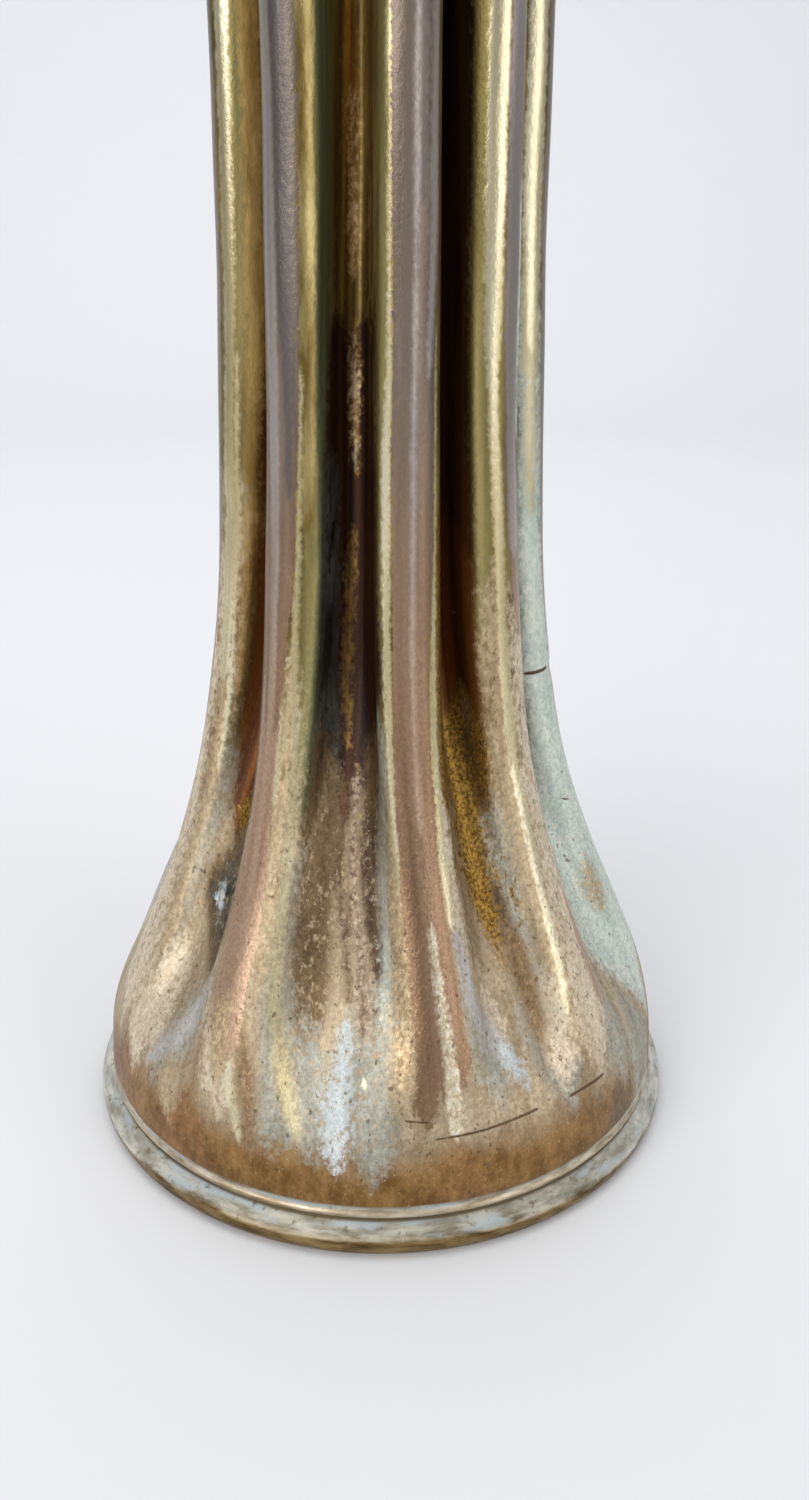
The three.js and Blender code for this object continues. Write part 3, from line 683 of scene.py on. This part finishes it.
def ramp(tree, value, low, high, to_low=0.0, to_high=1.0):
    """value carried smoothly from low..high to to_low..to_high."""
    node = tree.nodes.new("ShaderNodeMapRange")
    node.interpolation_type = "SMOOTHSTEP"
    plug(tree, node.inputs["Value"], value)
    node.inputs["From Min"].default_value = low
    node.inputs["From Max"].default_value = high
    node.inputs["To Min"].default_value = to_low
    node.inputs["To Max"].default_value = to_high
    return node.outputs["Result"]


def mix_value(tree, a, b, share):
    node = tree.nodes.new("ShaderNodeMix")
    node.data_type = "FLOAT"
    plug(tree, node.inputs[0], share)
    plug(tree, node.inputs[2], a)
    plug(tree, node.inputs[3], b)
    return node.outputs[0]


def mix_colour(tree, a, b, share):
    node = tree.nodes.new("ShaderNodeMix")
    node.data_type = "RGBA"
    plug(tree, node.inputs[0], share)
    plug(tree, node.inputs[6], a)
    plug(tree, node.inputs[7], b)
    return node.outputs[2]


def scale_colour(tree, tone, factor):
    node = tree.nodes.new("ShaderNodeVectorMath")
    node.operation = "SCALE"
    tree.links.new(tone, node.inputs[0])
    tree.links.new(factor, node.inputs["Scale"])
    return node.outputs["Vector"]


class Finish:
    """A colour, roughness and metallic being built up in layers."""

    def __init__(self, tree, base, roughness, metallic):
        self.tree = tree
        self.colour = base
        self.roughness = roughness
        self.metallic = metallic

    def layer(self, mask, over, roughness, metallic):
        self.colour = mix_colour(self.tree, self.colour, over, mask)
        self.roughness = mix_value(self.tree, self.roughness, roughness, mask)
        self.metallic = mix_value(self.tree, self.metallic, metallic, mask)

    def output(self, height=None, depth_mm=0.0):
        """Makes the shader, with `height` as a bump depth_mm deep."""
        tree = self.tree
        shader = tree.nodes.new("ShaderNodeBsdfPrincipled")
        plug(tree, shader.inputs["Base Color"], self.colour)
        plug(tree, shader.inputs["Roughness"], self.roughness)
        plug(tree, shader.inputs["Metallic"], self.metallic)
        if height is not None:
            bump = tree.nodes.new("ShaderNodeBump")
            bump.inputs["Strength"].default_value = 1.0
            bump.inputs["Distance"].default_value = depth_mm * MM
            tree.links.new(height, bump.inputs["Height"])
            tree.links.new(bump.outputs["Normal"], shader.inputs["Normal"])
        end = tree.nodes.new("ShaderNodeOutputMaterial")
        tree.links.new(shader.outputs["BSDF"], end.inputs["Surface"])


# ---- Materials ----

# The grains that the finishes share: size in mm, detail, how many times as tall as wide, roughness, shift,
# whether it follows the ribs, and the noise levels that become 0 and 1.
GRAINS = {
    "brush": (0.9, 2.0, 60.0, 0.5, 7.7, True, 0.3, 0.7),
    "streak": (1.3, 4.0, 10.0, 0.6, 2.6, True, 0.3, 0.7),
    "mottle": (2.6, 5.0, 1.8, 0.65, 8.4, False, 0.32, 0.68),
    "speck": (0.75, 3.0, 1.5, 0.7, 1.7, False, 0.3, 0.7),
    "grit": (0.42, 3.0, 1.3, 0.7, 20.3, False, 0.32, 0.68),
}

# The heights, in mm, between which one look gives way to another.
FILMS_FLAKE = (32.0, 20.0)
FOOT_TO_STEM = (50.0, 84.0)
RUST_FADES_IN = (22.0, 15.0)
PITS_FADE_IN = (70.0, 40.0)
GRIT_FADES_OUT = (50.0, 100.0)
RIM_FADES_IN = (6.9, 6.2)
RIM_VERDIGRIS_EDGE = (2.3, 3.4)
RIM_BLUE_EDGE = (2.4, 3.4)
GROOVE_EDGES = ((4.25, 4.5), (5.0, 4.8))
BEAD_EDGES = ((5.05, 5.25), (6.3, 5.7))
# The y, in metres, between which the rim's front sets in.
RIM_FRONT = (-0.022, -0.04)


def stroke_mask(tree, name, grains, wander, softness, patchiness):
    """1 inside this finish's strokes, with an edge that wanders, and holes where it is patchy.

    The tarnish films, and the painted sheen on them, flake near the foot, so their edges wander more there.
    """
    sides = []
    for field in (name + "_0", name + "_1"):
        distance = math_node(tree, "ABSOLUTE", attribute(tree, field + "_offset"))
        sides.append(math_node(tree, "SUBTRACT", attribute(tree, field + "_half"), distance))
    inside = math_node(tree, "MAXIMUM", *sides)
    fine = math_node(tree, "SUBTRACT", grains["speck"], 0.5)
    coarse = math_node(tree, "SUBTRACT", grains["patch"], 0.5)
    jitter = math_node(tree, "MULTIPLY", coarse, 2.0)
    jitter = math_node(tree, "MULTIPLY", math_node(tree, "ADD", fine, jitter), wander)
    if name in LOW_TONES:
        flaking = ramp(tree, attribute(tree, "height"), *FILMS_FLAKE, 1.0, 3.4)
        jitter = math_node(tree, "MULTIPLY", jitter, flaking)
    mask = ramp(tree, math_node(tree, "ADD", inside, jitter), -softness, softness)
    if patchiness:
        solid = ramp(tree, grains["patch"], 0.3, 0.62, 1 - patchiness, 1.0)
        solid = math_node(tree, "MULTIPLY", solid, grains["hole"])
        mask = math_node(tree, "MULTIPLY", mask, ramp(tree, solid, 0.2, 0.5))
    return mask


def grain_set(tree):
    """The grains that the finishes share, each 0 to 1."""
    grains = {}
    for name, (size, detail, stretch, roughness, shift, along_ribs, low, high) in GRAINS.items():
        grain = noise(tree, size, detail, stretch, roughness, shift, along_ribs)
        grains[name] = ramp(tree, grain, low, high)
    grains["worn"] = mix_value(tree, grains["streak"], grains["speck"], 0.5)
    grains["patch"] = noise(tree, 4.2, detail=4.0, stretch=3.0, roughness=0.6, shift=5.2, along_ribs=True)
    hole = noise(tree, 0.8, detail=4.0, stretch=2.0, roughness=0.7, shift=9.9)
    grains["hole"] = ramp(tree, hole, 0.36, 0.6, 0.3, 1.0)
    return grains


def bare_wall(tree, grains, height):
    """The wall before any stroke: pale and worn at the foot, golden above, and rusty just over the rim."""
    broad = noise(tree, 11.0, detail=3.0, stretch=2.0, roughness=0.5, shift=3.1)
    foot = mix_colour(tree, colour(146, 126, 98), colour(198, 182, 154), grains["worn"])
    foot = mix_colour(tree, foot, colour(138, 114, 84), ramp(tree, broad, 0.5, 0.68, 0.0, 0.6))
    stem = mix_colour(tree, colour(88, 74, 38), colour(140, 122, 72), grains["streak"])
    stem_edge = math_node(tree, "ADD", height, math_node(tree, "MULTIPLY", broad, 24.0))
    stem_share = ramp(tree, stem_edge, *FOOT_TO_STEM)
    base = mix_colour(tree, foot, stem, stem_share)
    finish = Finish(tree, base, mix_value(tree, 0.52, 0.4, stem_share), metallic=0.7)

    rust_edge = math_node(tree, "ADD", height, math_node(tree, "MULTIPLY", grains["patch"], 9.0))
    rust = mix_colour(tree, colour(112, 82, 42), colour(156, 120, 74), grains["mottle"])
    finish.layer(ramp(tree, rust_edge, *RUST_FADES_IN), rust, roughness=0.45, metallic=0.75)
    return finish


def lay_strokes(tree, finish, grains, height):
    """Every finish of the patina, and the painted highlights and shade, one over the other in their order.
    """
    for name, (first, second, grain, roughness, metallic, wander, softness, patchiness) in FINISHES.items():
        mask = stroke_mask(tree, name, grains, wander, softness, patchiness)
        tone = mix_colour(tree, colour(*first), colour(*second), grains[grain])
        if name in LOW_TONES:
            low_first, low_second, low_end, high_start = LOW_TONES[name]
            low_tone = mix_colour(tree, colour(*low_first), colour(*low_second), grains[grain])
            tone = mix_colour(tree, low_tone, tone, ramp(tree, height, low_end, high_start))
        finish.layer(mask, tone, roughness, metallic)


def wear(tree, finish, grains, height):
    """Dark pits and bright flecks low down, and a tone that is finely uneven everywhere."""
    low = ramp(tree, height, *PITS_FADE_IN)
    pits = noise(tree, 0.7, detail=2.0, stretch=1.4, roughness=0.5, shift=12.3)
    pits = math_node(tree, "MULTIPLY", ramp(tree, pits, 0.65, 0.72, 0.0, 0.7), low)
    finish.layer(pits, colour(84, 66, 42), roughness=0.55, metallic=0.4)
    flecks = noise(tree, 0.4, detail=2.0, stretch=1.0, roughness=0.5, shift=15.8)
    flecks = math_node(tree, "MULTIPLY", ramp(tree, flecks, 0.66, 0.74, 0.0, 0.4), low)
    finish.layer(flecks, colour(216, 196, 150), roughness=0.4, metallic=0.8)
    shade = ramp(tree, grains["grit"], 0.0, 1.0, 0.87, 1.11)
    shade = mix_value(tree, shade, 1.0, ramp(tree, height, *GRIT_FADES_OUT, 0.0, 0.7))
    finish.colour = scale_colour(tree, finish.colour, shade)


def aged_brass():
    """The outside of the vase."""
    material, tree = new_material("aged_brass")
    grains = grain_set(tree)
    height = attribute(tree, "height")
    finish = bare_wall(tree, grains, height)
    lay_strokes(tree, finish, grains, height)
    wear(tree, finish, grains, height)
    finish_rim(tree, finish, height)
    relief = mix_value(tree, grains["speck"], grains["mottle"], 0.5)
    finish.output(relief, depth_mm=0.035)
    return material


def finish_rim(tree, finish, height):
    """The extractor rim: verdigris on its sloped top, brass at the edge, a dirty groove and a worn bead."""
    rim = ramp(tree, height, *RIM_FADES_IN)
    along = noise(tree, 2.2, detail=5.0, stretch=0.4, roughness=0.6, shift=8.8, along_ribs=True)
    along = ramp(tree, along, 0.3, 0.7)
    edge = mix_colour(tree, colour(78, 60, 32), colour(150, 128, 84), along)
    finish.layer(rim, edge, roughness=0.42, metallic=0.85)

    # Verdigris, duller and narrower at the front.
    sides = noise(tree, 30.0, detail=2.0, stretch=1.0, roughness=0.5, shift=0.9)
    uneven = math_node(tree, "ADD", height, math_node(tree, "MULTIPLY", along, 0.4))
    uneven = math_node(tree, "ADD", uneven, math_node(tree, "MULTIPLY", sides, 1.2))
    place = tree.nodes.new("ShaderNodeSeparateXYZ")
    tree.links.new(tree.nodes.new("ShaderNodeTexCoord").outputs["Object"], place.inputs["Vector"])
    front = ramp(tree, place.outputs["Y"], *RIM_FRONT)
    uneven = math_node(tree, "SUBTRACT", uneven, math_node(tree, "MULTIPLY", front, 0.9))
    verdigris = mix_colour(tree, colour(150, 146, 130), colour(212, 210, 200), along)
    dull = mix_colour(tree, colour(112, 104, 84), colour(176, 172, 156), along)
    verdigris = mix_colour(tree, verdigris, dull, math_node(tree, "MULTIPLY", front, 0.75))
    mask = math_node(tree, "MULTIPLY", rim, ramp(tree, uneven, *RIM_VERDIGRIS_EDGE))
    finish.layer(mask, verdigris, roughness=0.5, metallic=0.45)

    blue = noise(tree, 3.0, detail=3.0, stretch=0.5, roughness=0.5, shift=4.4, along_ribs=True)
    blue = math_node(tree, "MULTIPLY", ramp(tree, blue, 0.5, 0.64, 0.0, 0.8), rim)
    blue = math_node(tree, "MULTIPLY", blue, ramp(tree, height, *RIM_BLUE_EDGE))
    finish.layer(blue, colour(168, 180, 184), roughness=0.55, metallic=0.25)

    dirt = noise(tree, 1.3, detail=4.0, stretch=1.0, roughness=0.65, shift=6.1)
    dirt = math_node(tree, "MULTIPLY", rim, ramp(tree, dirt, 0.57, 0.68, 0.0, 0.7))
    finish.layer(dirt, colour(104, 90, 64), roughness=0.6, metallic=0.3)

    groove = math_node(tree, "MULTIPLY", *(ramp(tree, height, *edge) for edge in GROOVE_EDGES))
    finish.layer(groove, colour(92, 78, 52), roughness=0.55, metallic=0.5)
    bead = math_node(tree, "MULTIPLY", *(ramp(tree, height, *edge) for edge in BEAD_EDGES))
    bead_tone = mix_colour(tree, colour(146, 128, 98), colour(212, 200, 178), along)
    finish.layer(bead, bead_tone, roughness=0.42, metallic=0.8)


def dark_inside():
    material, tree = new_material("inner_brass")
    grain = noise(tree, 3.0, detail=5.0, stretch=2.0)
    tone = mix_colour(tree, colour(60, 44, 26), colour(120, 96, 58), ramp(tree, grain, 0.35, 0.7))
    Finish(tree, tone, roughness=0.5, metallic=0.85).output(grain, depth_mm=0.05)
    return material


# The underside's finish: name, dark and light colour, and roughness.
BASE_FINISH = ("base_brass", colour(96, 72, 40), colour(166, 138, 90), 0.45)
BASE_RING_SPACING = 0.5  # mm
PRIMER_RING_SPACING = 0.4  # mm


def turned_rings(tree, spacing_mm):
    """Fine rings round the axis, as a lathe leaves them. 0 to 1."""
    flat = tree.nodes.new("ShaderNodeVectorMath")
    flat.operation = "MULTIPLY"
    flat.inputs[1].default_value = (1.0, 1.0, 0.0)
    tree.links.new(tree.nodes.new("ShaderNodeTexCoord").outputs["Object"], flat.inputs[0])
    radius = tree.nodes.new("ShaderNodeVectorMath")
    radius.operation = "LENGTH"
    tree.links.new(flat.outputs["Vector"], radius.inputs[0])
    rings = tree.nodes.new("ShaderNodeTexNoise")
    rings.noise_dimensions = "1D"
    rings.inputs["Scale"].default_value = 1.0 / (spacing_mm * MM)
    tree.links.new(radius.outputs["Value"], rings.inputs["W"])
    return rings.outputs["Fac"]


def turned_brass(name, dark, light, roughness, ring_spacing):
    """Old turned brass: stains over fine rings."""
    material, tree = new_material(name)
    stains = ramp(tree, noise(tree, 5.0, detail=6.0, stretch=1.0, roughness=0.7), 0.25, 0.8)
    rings = turned_rings(tree, ring_spacing)
    share = mix_value(tree, stains, ramp(tree, rings, 0.3, 0.7), 0.35)
    Finish(tree, mix_colour(tree, dark, light, share), roughness, metallic=0.9).output(rings, depth_mm=0.03)
    return material


# ---- Build the vase ----


def add_stroke_fields(mesh, x, y, z):
    girths = {rib: unrolled_girth(x, y, index) for index, rib in enumerate(RIBS)}
    strokes = all_strokes()
    for finish in FINISHES:
        for field in (finish + "_0", finish + "_1"):
            offset, half = finish_fields(field, z, strokes, girths)
            add_field(mesh, field + "_offset", offset)
            add_field(mesh, field + "_half", half)


def add_straightened(mesh, turns, z):
    """Each point's place if the vase were a plain cylinder and its ribs stood straight."""
    angles = 2 * math.pi * np.broadcast_to(turns, z.shape) / len(RIBS)
    places = np.stack([WAIST_RADIUS * np.cos(angles), WAIST_RADIUS * np.sin(angles), z], axis=-1) * MM
    attribute = mesh.attributes.new("straightened", "FLOAT_VECTOR", "POINT")
    attribute.data.foreach_set("vector", places.astype(np.float32).ravel())


def build_vase():
    x, y, z, zones, turns = vase_grid()
    mesh = mesh_from_grid("vase", x, y, z)
    add_stroke_fields(mesh, x, y, z)
    add_field(mesh, "height", z)
    add_straightened(mesh, turns, z)
    base_brass = turned_brass(*BASE_FINISH, BASE_RING_SPACING)
    for material in (aged_brass(), dark_inside(), base_brass):
        mesh.materials.append(material)
    mesh.polygons.foreach_set("material_index", np.repeat(zones, x.shape[1]))
    mesh.update()
    vase = bpy.data.objects.new("vase", mesh)
    bpy.context.scene.collection.objects.link(vase)
    return vase


vase = build_vase()
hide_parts("vase_body")
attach(vase, "root")

# ---- The primer's pieces ----

# Dark and light colour and roughness of each primer piece.
PRIMER_FINISHES = {
    "primer_body": (colour(96, 72, 40), colour(142, 116, 70), 0.42),
    "percussion_cap": (colour(88, 46, 30), colour(140, 84, 58), 0.42),
    "cap_anvil": (colour(70, 54, 34), colour(120, 96, 60), 0.5),
    "flash_plug": (colour(40, 32, 24), colour(96, 76, 46), 0.55),
}
for node, (dark, light, roughness) in PRIMER_FINISHES.items():
    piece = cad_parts[node]
    piece.data.materials.clear()
    piece.data.materials.append(turned_brass(node + "_finish", dark, light, roughness, PRIMER_RING_SPACING))

# ---- Camera: close in front of the vase, level from side to side, looking along +Y and down ----

# Lengths on the sensor are in picture heights, places in metres and the tilt in degrees below level.
SENSOR_MM = 36.0
FOCAL_LENGTH = 0.8
AXIS_LEFT_OF_CENTRE = 0.01567
CAMERA_PLACE = (0.0, -0.1616, 0.1176)
CAMERA_TILT = 21.88
NEAREST_SEEN = 0.01

camera_data = bpy.data.cameras.new("camera")
camera_data.sensor_fit = "VERTICAL"
camera_data.sensor_height = SENSOR_MM
camera_data.lens = FOCAL_LENGTH * SENSOR_MM
camera_data.shift_x = AXIS_LEFT_OF_CENTRE
camera_data.clip_start = NEAREST_SEEN
camera = bpy.data.objects.new("camera", camera_data)
camera.location = CAMERA_PLACE
camera.rotation_euler = (math.radians(90 - CAMERA_TILT), 0.0, 0.0)
bpy.context.scene.collection.objects.link(camera)
bpy.context.scene.camera = camera

# ---- Floor, backdrop and light ----

FLOOR_COLOUR = (0.74, 0.75, 0.77, 1.0)
SKY_COLOUR = (0.92, 0.95, 1.0, 1.0)
SKY_STRENGTH = 0.46

# Soft panels: name, place, the point it faces, width and height (in metres), watts and colour.
PANELS = [
    ("left_panel", (-0.9, -1.2, 0.9), (0, 0, 0.1), 1.2, 1.2, 15, (1.0, 0.98, 0.95)),
    ("right_panel", (1.1, -0.9, 0.6), (0, 0, 0.1), 1.0, 1.2, 6, (1.0, 0.98, 0.96)),
    ("overhead", (-0.1, 0.3, 1.6), (0, 0.3, 0.0), 1.6, 1.6, 15, (1.0, 1.0, 1.0)),
]


def make_backdrop():
    """A pale floor that curves up into a wall behind the vase. Lengths are in metres."""
    front_y = -1.6
    half_width = 2.5
    wall_y = 1.3
    bend = 0.5
    wall_height = 2.2
    profile = [(front_y, 0.0), (wall_y - bend, 0.0)]
    for angle in np.radians(np.linspace(-80, 0, 12)):
        profile.append((wall_y - bend + bend * math.cos(angle), bend + bend * math.sin(angle)))
    profile.append((wall_y, wall_height))
    points = [(side * half_width, py, pz) for py, pz in profile for side in (-1, 1)]
    faces = [(2 * i, 2 * i + 1, 2 * i + 3, 2 * i + 2) for i in range(len(profile) - 1)]
    mesh = bpy.data.meshes.new("backdrop")
    mesh.from_pydata(points, [], faces)
    mesh.shade_smooth()
    backdrop = bpy.data.objects.new("backdrop", mesh)
    bpy.context.scene.collection.objects.link(backdrop)
    material, tree = new_material("pale_floor")
    Finish(tree, FLOOR_COLOUR, roughness=0.8, metallic=0.0).output()
    mesh.materials.append(material)


def add_area_light(name, place, target, width, height, watts, tint):
    light = bpy.data.lights.new(name, "AREA")
    light.shape = "RECTANGLE"
    light.size, light.size_y = width, height
    light.energy = watts
    light.color = tint
    lamp = bpy.data.objects.new(name, light)
    lamp.location = place
    lamp.rotation_euler = (Vector(target) - Vector(place)).to_track_quat("-Z", "Y").to_euler()
    bpy.context.scene.collection.objects.link(lamp)


make_backdrop()
world = bpy.data.worlds.new("world")
world.use_nodes = True
sky = world.node_tree.nodes["Background"]
sky.inputs["Color"].default_value = SKY_COLOUR
sky.inputs["Strength"].default_value = SKY_STRENGTH
bpy.context.scene.world = world
bpy.context.scene.view_settings.view_transform = "Standard"

for panel in PANELS:
    add_area_light(*panel)

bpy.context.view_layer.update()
